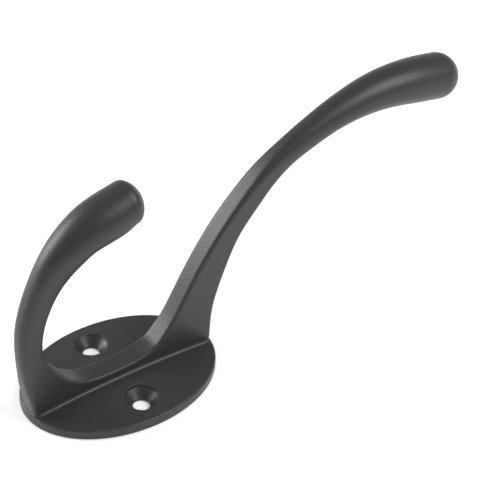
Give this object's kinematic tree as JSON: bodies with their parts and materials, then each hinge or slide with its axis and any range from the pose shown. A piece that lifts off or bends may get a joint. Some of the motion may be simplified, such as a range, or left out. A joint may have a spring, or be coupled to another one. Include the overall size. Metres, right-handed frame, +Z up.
{
  "type": "hat and coat hook",
  "caption": "Cast hat and coat hook: oval wall plate with countersunk holes, a short upturned coat arm and a long sweeping hat arm with rounded ends.",
  "frame": {"origin": "middle of the wall plate's flat back face", "axes": "+Z up as the hook hangs on its wall, with the long hat arm uppermost; -Y out from the wall, so +Y is the back face's normal; X across the plate"},
  "size_m": [0.0374, 0.064, 0.1297],
  "materials": {
    "black_coating": "satin black powder coating on a zinc casting"
  },
  "bodies": {
    "root": {"coat_hook": "black_coating"}
  },
  "joints": []
}
